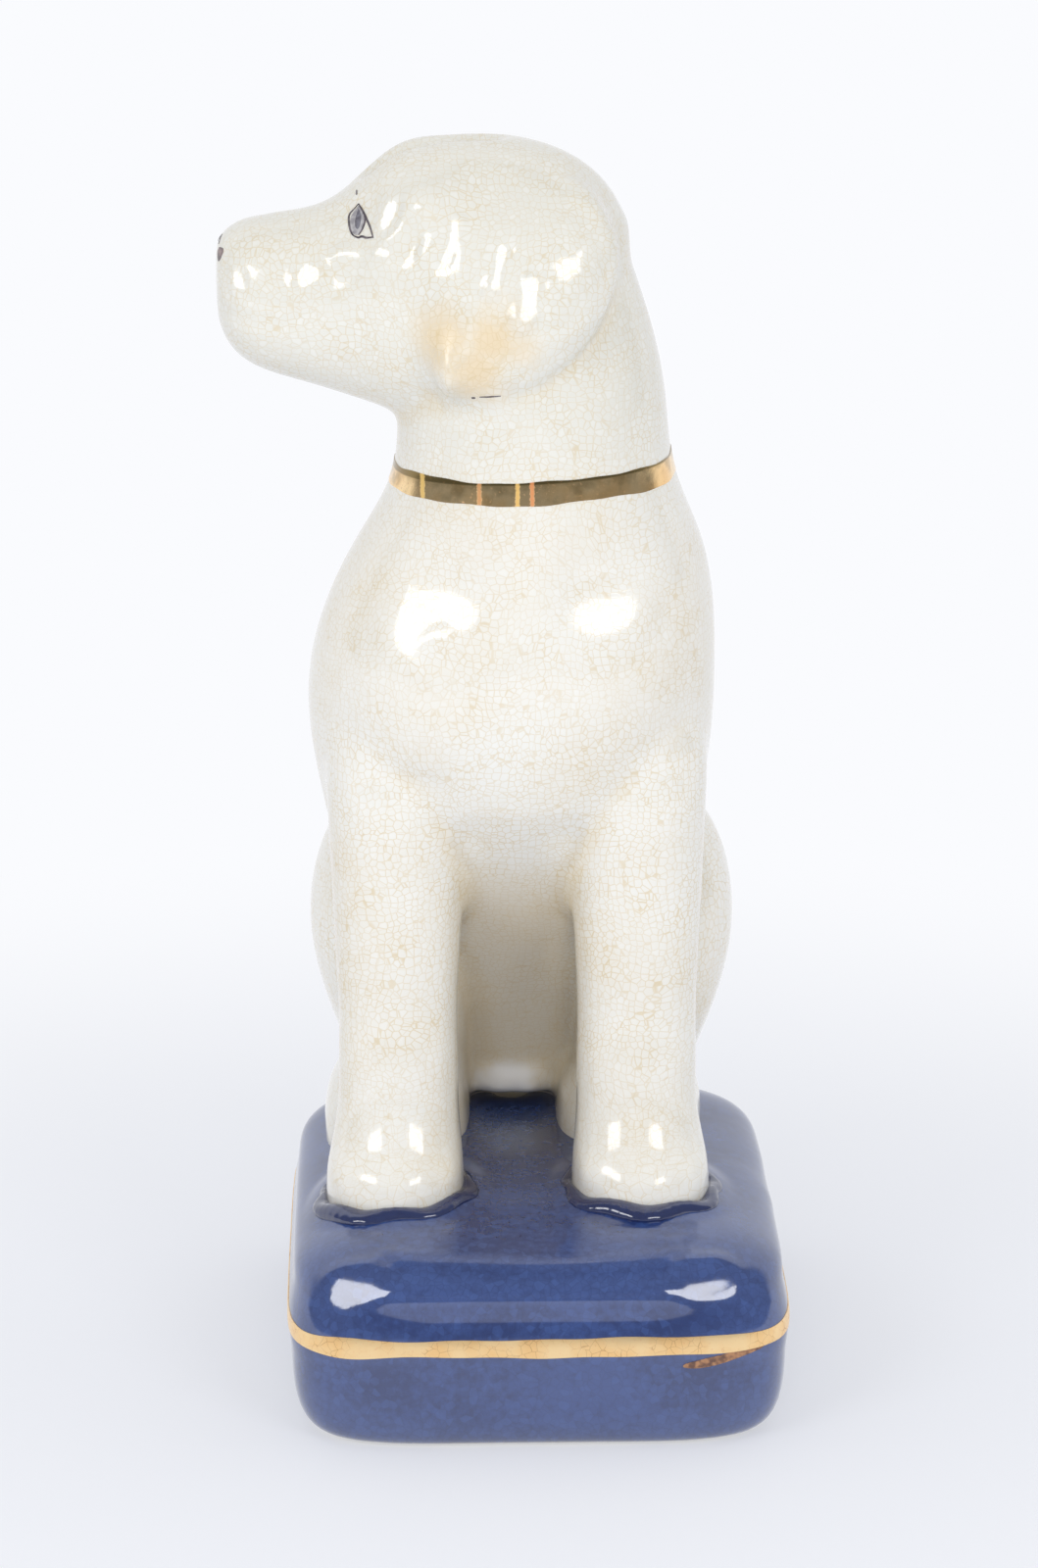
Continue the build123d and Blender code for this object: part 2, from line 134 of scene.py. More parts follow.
def lump(bm, centre, radii, turn=0.0):
    """Add a rounded lump of clay."""
    place = Matrix.Translation(centre) @ Matrix.Rotation(turn, 4, "Z") @ Matrix.Diagonal((*radii, 1))
    bmesh.ops.create_icosphere(bm, subdivisions=4, radius=1, matrix=place)


def melt(bm, voxel):
    """Voxel remesh a bmesh, and keep the outermost of the shells that it makes."""
    mesh = bpy.data.meshes.new("melt")
    bm.to_mesh(mesh)
    bm.free()
    lump_object = bpy.data.objects.new("melt", mesh)
    bpy.context.scene.collection.objects.link(lump_object)
    remesh = lump_object.modifiers.new("melt", "REMESH")
    remesh.mode = "VOXEL"
    remesh.voxel_size = voxel
    depsgraph = bpy.context.evaluated_depsgraph_get()
    melted = bpy.data.meshes.new_from_object(lump_object.evaluated_get(depsgraph))
    bpy.data.objects.remove(lump_object)
    skin = bmesh.new()
    skin.from_mesh(melted)
    shells = []
    seen = set()
    for vert in skin.verts:
        if vert in seen:
            continue
        shell = [vert]
        seen.add(vert)
        for member in shell:
            for edge in member.link_edges:
                other = edge.other_vert(member)
                if other not in seen:
                    seen.add(other)
                    shell.append(other)
        shells.append(shell)
    shells.sort(key=len)
    for shell in shells[:-1]:
        bmesh.ops.delete(skin, geom=shell, context="VERTS")
    print("melted to", len(skin.faces), "faces, dropped", len(shells) - 1, "inner shells")
    return skin


def soften(bm, rounds, verts=None):
    """Let the surface relax, as a thick glaze does."""
    for _ in range(rounds):
        bmesh.ops.smooth_vert(
            bm, verts=verts or bm.verts, factor=0.5, use_axis_x=True, use_axis_y=True, use_axis_z=True
        )


# %% [markdown]
# The head's own directions are needed for its features: out along the muzzle, and out through
# the left ear, which is the one that faces the camera. Lumps of clay for the brows, the ear lobes
# and the toes go in before the melt. The head carries the finest marks, so its mesh is divided
# once more.

# %% Clay for the skin
head_turn = math.radians(87.0)
muzzle_way = Vector((-math.sin(head_turn), -math.cos(head_turn), 0))
left_way = Vector((math.cos(head_turn), -math.sin(head_turn), 0))
vent_place = Vector((-3.0, 34.5, 42.0)) * mm
vent_radius = 3.6 * mm
vent_depth = 26.0 * mm
skin_voxel = 0.9 * mm
crown_level = 196 * mm
chest_levels = (118 * mm, 150 * mm)
fine_level = 160 * mm


def head_place(along, aside, level):
    """A point of the head, in millimetres from the neck's axis and the floor."""
    return (muzzle_way * along + left_way * aside) * mm + Vector((0, 0, level * mm))


clay = gather(dog_nodes)
cushion_tree = BVHTree.FromObject(nodes["cushion"], bpy.context.evaluated_depsgraph_get())
for vert in clay.verts:
    if cushion_tree.find_nearest(vert.co, touch_distance)[0] is not None:
        vert.co.z -= sink_depth
bmesh.ops.create_cone(
    clay, cap_ends=True, segments=24, radius1=vent_radius, radius2=vent_radius, depth=vent_depth,
    matrix=Matrix.Translation(vent_place),
)
brow_radii = Vector((6.0, 12.0, 6.0)) * mm
lobe_radii = Vector((2.2, 6.2, 5.8)) * mm
toe_radii = Vector((3.4, 8.0, 5.0)) * mm
for side in (1, -1):
    lump(clay, head_place(19.0, 7.0 * side, 200.6), brow_radii, math.pi / 2 - head_turn)
    lump(clay, head_place(15.6, 20.0 * side, 174.6), lobe_radii, math.pi / 2 - head_turn)
    for toe in (-8.0, -2.8, 2.8, 8.0):
        across = -3.0 + 20.6 * side + toe
        lump(clay, Vector((across, -20.6 + abs(toe) * 0.35, 38.2)) * mm, toe_radii)
skin = melt(clay, skin_voxel)
soften(skin, 14)
soften(skin, 25, [vert for vert in skin.verts if vert.co.z > crown_level])
soften(skin, 12, [vert for vert in skin.verts if chest_levels[0] < vert.co.z < chest_levels[1]])
head_edges = [edge for edge in skin.edges if min(vert.co.z for vert in edge.verts) > fine_level]
bmesh.ops.subdivide_edges(skin, edges=head_edges, cuts=1, use_grid_fill=True)
soften(skin, 6, [vert for vert in skin.verts if vert.co.z > fine_level])
print("head refined to", len(skin.faces), "faces in all")

# %% [markdown]
# Features that are pressed into the clay by hand come next. They could be sculpted in the editor,
# but a press along a path can be written down and repeated. A path is a few pixels of the
# photograph, followed back onto the skin, and on the head it is mirrored for the far side.

# %% Tools for pressing
def path_points(pixels, rounds=2):
    """Round the corners of a path of pixels."""
    points = [Vector(pixel) for pixel in pixels]
    for _ in range(rounds):
        rounded = [points[0]]
        for a, b in zip(points, points[1:]):
            rounded += [a.lerp(b, 0.25), a.lerp(b, 0.75)]
        points = rounded + [points[-1]]
    return points


def other_side(place):
    """The same place on the far side of the head."""
    return place - left_way * (2 * place.dot(left_way))


def both_sides(places):
    """Some places on the head, and the same on its far side."""
    return places, [other_side(place) for place in places]


def near(bm, places, radius):
    """The points of a skin within a radius of some places, with their share of that radius."""
    bm.verts.ensure_lookup_table()
    centres = np.array(places)
    points = np.array([vert.co for vert in bm.verts])
    inside = (points > centres.min(0) - radius) & (points < centres.max(0) + radius)
    found = []
    for index in np.flatnonzero(inside.all(1)):
        share = np.sqrt(((centres - points[index]) ** 2).sum(1).min()) / radius
        if share < 1:
            found.append((bm.verts[index], share))
    return found


def press(bm, places, radius, depth):
    """Move the skin in along its normals near some places. A negative depth raises it."""
    bm.normal_update()
    for vert, share in near(bm, places, radius):
        vert.co -= vert.normal * (depth * (1 - share * share) ** 2)


def soften_near(bm, places, radius, rounds):
    """Soften a skin within a radius of some places."""
    soften(bm, rounds, [vert for vert, _ in near(bm, places, radius)])


def skin_hits(tree, pixels):
    """Where the camera sees the skin at some pixels of the photograph."""
    hits = []
    for across, down in pixels:
        hit = tree.ray_cast(camera_place, photo_ray(across, down))
        if hit[0] is not None:
            hits.append(hit[0])
    return hits


facet_rim = 0.6


def facet(bm, tree, pixels, radius, lean=None, share=0.9, mirrored=False):
    """Flatten a patch so that it mirrors the nearer lamp into the camera, or leans right and up."""
    places = skin_hits(tree, path_points(pixels))
    middle = places[len(places) // 2]
    view = (camera_place - middle).normalized()
    normal = tree.find_nearest(middle)[1]
    goals = [(view + (lamp - middle).normalized()).normalized() for lamp in (left_box, right_box)]
    goal = max(goals, key=normal.dot)
    if lean:
        goal = (normal + Vector((lean[0], 0, lean[1]))).normalized()
    sides = [(places, goal)]
    if mirrored:
        sides.append(([other_side(place) for place in places], other_side(goal)))
    for spots, way in sides:
        patch = []
        for vert, apart in near(bm, spots, radius):
            ramp = min(1.0, (1 - apart) / facet_rim)
            patch.append((vert, share * ramp * ramp * (3 - 2 * ramp)))
        weights = sum(weight for _, weight in patch)
        level = sum(vert.co.dot(way) * weight for vert, weight in patch) / weights
        for vert, weight in patch:
            vert.co += way * ((level - vert.co.dot(way)) * weight)


print("tools ready to press a skin of", len(skin.verts), "points")

# %% [markdown]
# The side of the head is calmed first, so that no chance dent shows. Then the mouth, the sockets of
# the eyes, the folds of the ear, the furrow between the brows and the far brow are pressed or
# raised. A fold is a path, a radius and a rise in millimetres.

# %% Press the head
first_tree = BVHTree.FromBMesh(skin)
calm = skin_hits(first_tree, [(440, 205), (455, 235), (480, 225), (530, 255), (570, 265)])
ear_back = skin_hits(first_tree, path_points([(620, 335), (590, 372), (555, 398)]))
for places, radius, rounds in ((calm, 11.0, 220), (ear_back, 6.0, 60)):
    for spots in both_sides(places):
        soften_near(skin, spots, radius * mm, rounds)
skin_tree = BVHTree.FromBMesh(skin)
mouth = skin_hits(skin_tree, path_points([(228, 318), (250, 328), (285, 331), (322, 324)]))
socket = skin_hits(skin_tree, [(364, 226), (370, 232)])
for places, radius, depth in ((mouth, 2.2 * mm, 0.28 * mm), (socket, 6.0 * mm, 0.35 * mm)):
    for spots in both_sides(places):
        press(skin, spots, radius, depth)
lobe_fold = [(432, 350), (440, 380), (455, 400), (480, 412), (520, 400)]
for spots in both_sides(skin_hits(skin_tree, path_points(lobe_fold))):
    soften_near(skin, spots, 6.0 * mm, 60)
ear_edge = [
    (604, 182), (633, 244), (635, 310), (607, 351), (557, 391), (500, 420), (450, 405), (425, 362),
]
ear_rim = [(586, 188), (618, 228), (627, 265), (620, 310), (590, 352), (545, 388)]
head_folds = [
    (ear_rim, 3.0, 0.35), ([(455, 362), (485, 368)], 8.0, 0.45), (ear_edge, 3.4, -0.22),
    ([(572, 335)], 14.0, 1.1), ([(441, 358), (445, 382), (457, 400)], 4.5, 1.0),
]
for pixels, radius, rise in head_folds:
    for spots in both_sides(skin_hits(skin_tree, path_points(pixels))):
        press(skin, spots, radius * mm, -rise * mm)
over_head = 230.0
plumb = Vector((0, 0, -1))
furrow = [skin_tree.ray_cast(head_place(along, 0.0, over_head), plumb)[0] for along in range(8, 27, 2)]
press(skin, furrow, 4.5 * mm, 1.7 * mm)
far_brow = skin_tree.ray_cast(head_place(19.0, -9.0, over_head), plumb)[0]
press(skin, [far_brow], 8.0 * mm, -0.8 * mm)
lobe_front = skin_hits(skin_tree, [(438, 350), (442, 372), (450, 390), (462, 402), (480, 410)])
for spots in both_sides(lobe_front):
    soften_near(skin, spots, 7.0 * mm, 220)
print("pressed the mouth, the eye sockets and", len(head_folds), "folds of the ear")

# %% [markdown]
# On the body a crease runs over each foreleg, the shoulders are filled out, the chest is flattened
# above them, and the paws get knuckles. The belly ends in a rounded edge over the cushion, so its
# skin is tucked back below the pool of white glaze that hangs there.

# %% Press the body
creases = ([(378, 800), (410, 792), (440, 800)], [(640, 812), (665, 797), (700, 792)])
for crease in creases:
    press(skin, skin_hits(skin_tree, path_points(crease)), 4.0 * mm, 0.45 * mm)
shoulders = [
    ([(424, 722)], 18.0, 1.2), ([(636, 705)], 17.0, 1.2),
    ([(452, 610)], 13.0, -0.95), ([(620, 604)], 12.5, -0.95),
    ([(510, 1101), (538, 1101)], 5.0, 2.8),
]
knuckles = [
    ([(374, 1203), (380, 1203)], 5.0, 0.35), ([(418, 1208), (424, 1207)], 5.0, 0.35),
    ([(383, 1150), (388, 1152)], 6.0, 0.40), ([(420, 1158), (428, 1158)], 6.0, 0.35),
    ([(622, 1200), (628, 1203)], 5.0, 0.35), ([(668, 1208), (676, 1206)], 5.0, 0.35),
    ([(620, 1160), (626, 1162)], 6.0, 0.40), ([(660, 1150), (668, 1152)], 6.0, 0.35),
]
for pixels, radius, rise in shoulders + knuckles:
    press(skin, skin_hits(skin_tree, pixels), radius * mm, -rise * mm)
belly_pool = skin_hits(skin_tree, [(523, 1104)])[0]
tuck_depth = 7.0 * mm
tuck_drop = 1.7 * mm
tuck_run = 2.5 * mm
tuck_half = 6.0 * mm
for vert in skin.verts:
    below = min(1.0, max(0.0, (belly_pool.z - tuck_drop - vert.co.z) / tuck_run))
    inside = min(1.0, max(0.0, 2.0 - abs(vert.co.x - belly_pool.x) / tuck_half))
    if below > 0 and inside > 0 and abs(vert.co.y - belly_pool.y) < tuck_half:
        vert.co.y += tuck_depth * inside * below * below * (3 - 2 * below)
soften(skin, 4)
print("pressed", len(shoulders), "places on the body and", len(knuckles), "knuckles")

# %% [markdown]
# The folds of the ear, the muzzle and the chest each show a bright spot in the photograph. A spot
# is where the glaze faces halfway between the camera and a lamp, so a small facet is flattened
# there, facing that way. Where a spot of chance lay beside it, a facet leans away instead, right
# and up by the shares given. The head's facets are mirrored, because both ears are alike.

# %% Facets that catch the light
head_facets = [
    ([(409, 248)], 4.5, (0.22, -0.06)), ([(444, 260)], 3.8, (0.20, -0.08)),
    ([(350, 272)], 4.5, (0.05, -0.16)), ([(399, 212), (394, 227)], 2.8, None),
    ([(386, 258), (392, 256)], 1.5, None), ([(467, 226), (454, 266)], 1.7, None),
    ([(516, 256), (502, 295)], 2.0, None), ([(546, 288), (534, 326)], 3.0, None),
    ([(308, 283), (320, 280)], 3.0, None), ([(242, 284), (243, 290)], 2.4, None),
]
chest_facets = [
    ([(425, 645), (455, 625)], 9.0, None, 0.6), ([(449, 664)], 5.0, (0.0, -0.20), 0.9),
    ([(608, 622), (632, 620)], 8.0, None, 0.55),
]
facet_tree = BVHTree.FromBMesh(skin)
for pixels, radius, lean in head_facets:
    facet(skin, facet_tree, pixels, radius * mm, lean, mirrored=True)
for pixels, radius, lean, share in chest_facets:
    facet(skin, facet_tree, pixels, radius * mm, lean, share)
soften(skin, 3)
print(len(head_facets), "facets on the head and", len(chest_facets), "on the chest")

# %% [markdown]
# Old stain gathers in the hollows of the glaze. How hollow each point is can be measured: the
# skin is relaxed much further, and a point that ends up outside of where it was lies in a hollow.
# The measure is kept on the mesh as an attribute for the materials to read.

# %% Measure the hollows
hollow_scale = 1.6 * mm


def measure_hollows(bm, rounds):
    """Store how far each point lies below a much smoother skin, from 0 to 1."""
    layer = bm.verts.layers.float.new("hollow")
    smooth = bm.copy()
    soften(smooth, rounds)
    fine = [vert for vert in smooth.verts if vert.co.z > fine_level]
    if fine:
        soften(smooth, 2 * rounds, fine)
    bm.normal_update()
    for vert, relaxed in zip(bm.verts, smooth.verts):
        rise = (relaxed.co - vert.co).dot(vert.normal)
        vert[layer] = min(1.0, max(0.0, 0.5 + rise / hollow_scale))
    smooth.free()


measure_hollows(skin, 60)
print("hollows measured on", len(skin.verts), "points")

# %% [markdown]
# The collar hides the joint of head and body, so the skin is parted there into two pieces. The
# collar is tilted a little, as the potter's brush left it.

# %% Part the skin at the collar
collar_tilt = math.radians(2.6)
collar_centre = Vector((0, 0, 154.3)) * mm
collar_up = Vector((-math.sin(collar_tilt), 0, math.cos(collar_tilt)))
sharp_angle = math.radians(50)


def finish_piece(name, bm, material, replaced=()):
    """Turn a bmesh into a smooth-shaded piece that rides on the figure."""
    mesh = bpy.data.meshes.new(name)
    bm.to_mesh(mesh)
    mesh.polygons.foreach_set("use_smooth", [True] * len(mesh.polygons))
    mesh.set_sharp_from_angle(angle=sharp_angle)
    mesh.materials.append(material)
    piece = bpy.data.objects.new(name, mesh)
    bpy.context.scene.collection.objects.link(piece)
    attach(piece, "root")
    if replaced:
        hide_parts(*replaced)
    print(name, "has", len(mesh.polygons), "faces")


def part(bm, up, centre):
    """A copy of a skin that keeps what lies above a plane, or below it if up points down."""
    kept = bm.copy()
    bmesh.ops.bisect_plane(
        kept, geom=kept.verts[:] + kept.edges[:] + kept.faces[:], dist=1e-7,
        plane_co=centre, plane_no=up, clear_inner=True,
    )
    return kept


head_skin = part(skin, collar_up, collar_centre)
body_skin = part(skin, -collar_up, collar_centre)
print("head", len(head_skin.faces), "and body", len(body_skin.faces), "faces")

# %% [markdown]
# The cushion is one casting, melted in the same way. Its hollow stays, because the slab's vent
# underneath lets one look in. Its shoulder is filled out into a tighter roll, higher and flatter
# at the corners, a low bead runs round it under the gold line, and the glaze has drawn up into a
# slight ridge along the front. Each front corner gets a facet that mirrors its lamp.

# %% Cushion form
seam_height = 18.0 * mm
seam_reach = 5.0 * mm
seam_rise = 0.40 * mm
roll_height = 28.8 * mm
roll_reach = 5.4 * mm
roll_rise = 1.5 * mm
corner_lift = 2.2 * mm
corner_ease = 0.45
least_outward = 0.15
cushion_skin = melt(gather(["cushion"]), skin_voxel)
soften(cushion_skin, 8)
cushion_skin.normal_update()
for vert in cushion_skin.verts:
    outward = Vector((vert.normal.x, vert.normal.y, 0))
    if outward.dot(vert.co) <= 0 or outward.length < least_outward:
        continue
    outward.normalize()
    corner = 2 * abs(outward.x * outward.y)
    roll = (roll_height + corner_lift * corner, roll_reach, roll_rise * (1 - corner_ease * corner))
    for level, reach, rise in ((seam_height, seam_reach, seam_rise), roll):
        share = min(1, abs(vert.co.z - level) / reach)
        vert.co += outward * (rise * (1 - share * share) ** 2)
soften(cushion_skin, 3)
ridge_pixels = path_points([(395, 1281), (470, 1284), (560, 1289), (640, 1286), (700, 1280)], 3)
ridge = skin_hits(BVHTree.FromBMesh(cushion_skin), ridge_pixels)
press(cushion_skin, ridge, 3.0 * mm, -0.35 * mm)
corner_tree = BVHTree.FromBMesh(cushion_skin)
for pixels in ([(352, 1312), (368, 1307)], [(712, 1304), (730, 1299)]):
    facet(cushion_skin, corner_tree, pixels, 6.0 * mm, share=0.7)
soften(cushion_skin, 1)
measure_hollows(cushion_skin, 40)
print("cushion skin with", len(cushion_skin.faces), "faces and a ridge of", len(ridge), "points")

# %% [markdown]
# Blue glaze wells up round the front paws in a bead with a wavy edge, thick in front and thin
# behind. The line where a paw meets the cushion is found by rays from inside the paw. The
# cushion's skin is drawn up along it, and lumps of uneven size melt into the bead itself.

# %% Beads of glaze
bead_steps = 60
bead_length = 2.4
bead_rest = Vector((0, 0, 0.2 * mm))
bead_voxel = 0.35 * mm
paw_depth = 17.0 * mm
above = Vector((0, 0, 20 * mm))
cushion_top = BVHTree.FromBMesh(cushion_skin)
beads = {}
for side, name, phase in ((1, "glaze_rim_left", 0.7), (-1, "glaze_rim_right", 2.3)):
    paw_middle = Vector((-3.0 + 20.7 * side, -14.5, 36.0)) * mm
    contour = []
    bead = bmesh.new()
    for step in range(bead_steps):
        angle = 2 * math.pi * step / bead_steps
        out = Vector((math.cos(angle), math.sin(angle), 0))
        hit, _, _, reach = skin_tree.ray_cast(paw_middle, out)
        if hit is None or reach > paw_depth:
            continue
        contour.append(cushion_top.ray_cast(hit + above, -above)[0])
        front = 0.62 - 0.38 * math.sin(angle)
        wave = math.sin(3 * angle + phase)
        ripple = math.sin(8 * angle + 2 * phase)
        width = 2.2 + 0.45 * wave + 0.35 * ripple
        tall = 1.75 + 0.20 * wave - 0.35 * ripple
        radii = Vector((width * front, bead_length, tall * front)) * mm
        shift = out * ((0.9 + 0.25 * ripple) * front * mm)
        lump(bead, contour[-1] + shift + bead_rest, radii, angle)
    press(cushion_skin, contour, 5.0 * mm, -0.8 * mm)
    beads[name] = melt(bead, bead_voxel)
    soften(beads[name], 8)
    measure_hollows(beads[name], 1)

# %% [markdown]
# A shader is a sum of small patterns. Written as node after node it is hard to read, so a small
# class wraps one socket, and Python's own arithmetic on it adds the Math nodes.

# %% Shader arithmetic
class Socket:
    """One output of a material's nodes, with arithmetic."""

    def __init__(self, tree, output=None):
        self.tree = tree
        self.output = output

    def node(self, kind, settings=None, values=None, out=0):
        """Add a node: its settings first, then the values or links of its inputs."""
        made = self.tree.nodes.new("ShaderNode" + kind)
        for name, value in (settings or {}).items():
            setattr(made, name, value)
        for name, value in (values or {}).items():
            if isinstance(value, Socket):
                self.tree.links.new(value.output, made.inputs[name])
            else:
                made.inputs[name].default_value = value
        return Socket(self.tree, made.outputs[out])

    def math(self, operation, a, b=0.0):
        """One Math node on two values or sockets."""
        return self.node("Math", {"operation": operation}, {0: a, 1: b})

    def __add__(self, other):
        return self.math("ADD", self, other)

    def __radd__(self, other):
        return self.math("ADD", other, self)

    def __sub__(self, other):
        return self.math("SUBTRACT", self, other)

    def __rsub__(self, other):
        return self.math("SUBTRACT", other, self)

    def __mul__(self, other):
        return self.math("MULTIPLY", self, other)

    def __rmul__(self, other):
        return self.math("MULTIPLY", other, self)

    def ease(self, start, end):
        """0 below start, 1 above end, and a smooth step between; start may be the larger."""
        settings = {"interpolation_type": "SMOOTHSTEP"}
        if start < end:
            return self.node("MapRange", settings, {0: self, 1: start, 2: end})
        return 1 - self.node("MapRange", settings, {0: self, 1: end, 2: start})

    def blend(self, under, over):
        """Mix two colours by this mask."""
        return self.node("Mix", {"data_type": "RGBA"}, {0: self, 6: under, 7: over}, out=2)


def rgb(red, green, blue):
    """A colour in the shader's linear light, from the 0 to 255 of a picture."""
    linear = []
    for channel in (red, green, blue):
        share = channel / 255
        linear.append(share / 12.92 if share <= 0.04045 else ((share + 0.055) / 1.055) ** 2.4)
    return (*linear, 1.0)


def new_finish(name, **constants):
    """A material, its empty socket to build from, its object coordinates and its shader."""
    material = bpy.data.materials.new(name)
    material.use_nodes = True
    tree = material.node_tree
    shader = tree.nodes["Principled BSDF"]
    for key, value in constants.items():
        shader.inputs[key.replace("_", " ")].default_value = value
    start = Socket(tree)
    place = start.node("TexCoord", out="Object")
    return material, start, place, shader


def drive(shader, name, socket):
    """Link a socket to one input of the shader."""
    socket.tree.links.new(socket.output, shader.inputs[name])


# %% [markdown]
# Crackle is a net of fine cracks that opens as the glaze cools, and stain creeps into it. A
# Voronoi pattern's distance to the edge gives such a net. The cells are small on the head and
# wider on the legs, and single cells come out whiter than others.

# %% Cream crackle glaze
def noise_at(start, place, scale, detail=2.0):
    """Soft noise, from about 0.3 to 0.7, at a number of waves in a metre."""
    return start.node("TexNoise", None, {"Vector": place, "Scale": scale, "Detail": detail})


def crack_net(start, place, scale, evenness):
    """Distance to the cracks of one Voronoi net, and a random tone for each of its cells."""
    values = {"Vector": place, "Scale": scale, "Randomness": evenness}
    edge = start.node("TexVoronoi", {"feature": "DISTANCE_TO_EDGE"}, values)
    cell = start.node("TexVoronoi", None, values, out="Color")
    return edge, start.node("SeparateColor", None, {0: cell})


def shaken(start, place, scale, amount):
    """Object coordinates pushed about by noise, so that a net isn't too even."""
    push = start.node("TexNoise", None, {"Vector": place, "Scale": scale, "Detail": 1.0}, out="Color")
    push = start.node("VectorMath", {"operation": "SUBTRACT"}, {0: push, 1: (0.5, 0.5, 0.5)})
    push = start.node("VectorMath", {"operation": "SCALE"}, {0: push, "Scale": amount})
    return start.node("VectorMath", {"operation": "ADD"}, {0: place, 1: push})


ear_tint_pixels = [(452, 345), (505, 352), (488, 378)]
ear_tints = skin_hits(BVHTree.FromBMesh(head_skin), ear_tint_pixels)
ear_tints += [other_side(place) for place in ear_tints]


def cream_crackle():
    """Cream glaze with a stained crackle net, painted shade on the head and painted light on the belly."""
    material, start, place, shader = new_finish("cream_crackle", IOR=1.6)
    height = start.node("SeparateXYZ", None, {0: place}, out=2)
    hollow = start.node("Attribute", {"attribute_name": "hollow"}, out="Fac")
    cloud = noise_at(start, place, 45.0, 3.0)
    patch = noise_at(start, place, 150.0, 2.0)
    bent = shaken(start, shaken(start, place, 60.0, 6.0 * mm), 250.0, 0.5 * mm)
    fine_edge, fine_tone = crack_net(start, bent, 860.0, 0.62)
    wide_edge, wide_tone = crack_net(start, bent, 470.0, 0.75)
    long_edge, _ = crack_net(start, bent, 210.0, 1.0)
    low = (height + cloud * 0.04).ease(0.088, 0.045)
    cracks = fine_edge.ease(0.085, 0.01) * (1 - low) + wide_edge.ease(0.045, 0.0) * low
    cracks = start.math("MAXIMUM", cracks, long_edge.ease(0.018, 0.0) * 0.5)
    white = fine_tone.ease(0.60, 0.95) * fine_edge.ease(0.05, 0.25) * (1 - low)
    white = white + wide_tone.ease(0.65, 0.95) * wide_edge.ease(0.02, 0.18) * low
    stain = hollow.ease(0.55, 0.85) * 0.6 + cloud.ease(0.48, 0.70) * patch.ease(0.40, 0.62) * 0.2
    colour = cloud.ease(0.35, 0.65).blend(rgb(237, 235, 227), rgb(234, 230, 219))
    # Painted shade: the head and neck get a darker cream, as the lamps light them less than the chest.
    colour = height.ease(0.145, 0.170).blend(colour, rgb(228, 226, 216))
    colour = (stain * 0.6).blend(colour, rgb(220, 202, 164))
    colour = (white * 0.25).blend(colour, rgb(243, 242, 237))
    ear = None
    for tint in ear_tints:
        away = start.node("VectorMath", {"operation": "DISTANCE"}, {0: place, 1: tint}, out="Value")
        close = (away + (patch - 0.5) * 0.008).ease(8.5 * mm, 0.5 * mm)
        ear = close if ear is None else start.math("MAXIMUM", ear, close)
    colour = (ear * 0.58).blend(colour, rgb(230, 198, 140))
    legs = height.ease(0.125, 0.095) * 0.12
    line = cracks * (0.22 + patch.ease(0.35, 0.65) * 0.20 + stain * 0.25 + legs)
    colour = line.blend(colour, rgb(212, 186, 126))
    # Painted light: a warm pale tint between the forelegs stands in for light bounced into the shade there.
    aside = start.math("ABSOLUTE", start.node("SeparateXYZ", None, {0: place}) + 3.0 * mm)
    belly = aside.ease(12.0 * mm, 7.0 * mm) * height.ease(0.098, 0.076)
    colour = (belly * (0.20 + cloud * 0.4)).blend(colour, rgb(246, 229, 196))
    pool = start.node("VectorMath", {"operation": "DISTANCE"}, {0: place, 1: belly_pool}, out="Value")
    colour = (pool + (patch - 0.5) * 0.006).ease(7.0 * mm, 4.0 * mm).blend(colour, rgb(250, 249, 247))
    drive(shader, "Base Color", colour)
    drive(shader, "Roughness", 0.08 + cracks * 0.04 + ear * 0.25)
    bump = start.node("Bump", None, {"Strength": 0.15, "Distance": 0.03 * mm, "Height": 1 - cracks})
    drive(shader, "Normal", bump)
    return material


cream_finish = cream_crackle()
print("cream crackle with", len(cream_finish.node_tree.nodes), "nodes")

# %% [markdown]
# The cobalt glaze is deep and mottled, paler where it runs thin over edges, and stops just short
# of the foot, where the pale clay shows as a thin line.

# %% Cobalt glaze
def cobalt_glaze(name, depth):
    """Deep blue glaze with a fine mottle and a bare foot; depth darkens it where it lies thick."""
    material, start, place, shader = new_finish(name, IOR=1.9)
    height = start.node("SeparateXYZ", None, {0: place}, out=2)
    hollow = start.node("Attribute", {"attribute_name": "hollow"}, out="Fac")
    cloud = noise_at(start, place, 60.0, 3.0)
    mottle = noise_at(start, place, 800.0, 2.0)
    edge, tone = crack_net(start, shaken(start, place, 400.0, 0.8 * mm), 750.0, 0.9)
    deep = (mottle * 0.4 + cloud * 0.6).ease(0.38, 0.62)
    colour = deep.blend(rgb(34, 53, 104), rgb(50, 74, 132))
    colour = (tone.ease(0.55, 0.95) * 0.40).blend(colour, rgb(60, 88, 150))
    colour = (hollow.ease(0.46, 0.30) * 0.30).blend(colour, rgb(78, 98, 150))
    colour = (hollow.ease(0.56, 0.75) * 0.7).blend(colour, rgb(22, 32, 78))
    colour = (depth + cloud * 0.1).blend(colour, rgb(20, 29, 72))
    net = edge.ease(0.09, 0.0)
    colour = (net * 0.24).blend(colour, rgb(26, 40, 84))
    foot = (height + (cloud - 0.5) * 0.0012).ease(0.9 * mm, 0.5 * mm)
    colour = foot.blend(colour, rgb(222, 213, 196))
    drive(shader, "Base Color", colour)
    drive(shader, "Roughness", 0.09 + foot * 0.6 + net * 0.03)
    ripple = noise_at(start, place, 220.0, 1.0)
    bump = start.node("Bump", None, {"Strength": 0.20, "Distance": 0.15 * mm, "Height": ripple})
    drive(shader, "Normal", bump)
    return material


cobalt_finish = cobalt_glaze("cobalt_glaze", 0.0)
bead_finish = cobalt_glaze("thick_cobalt", 0.75)
print("cobalt glaze with", len(cobalt_finish.node_tree.nodes), "nodes")
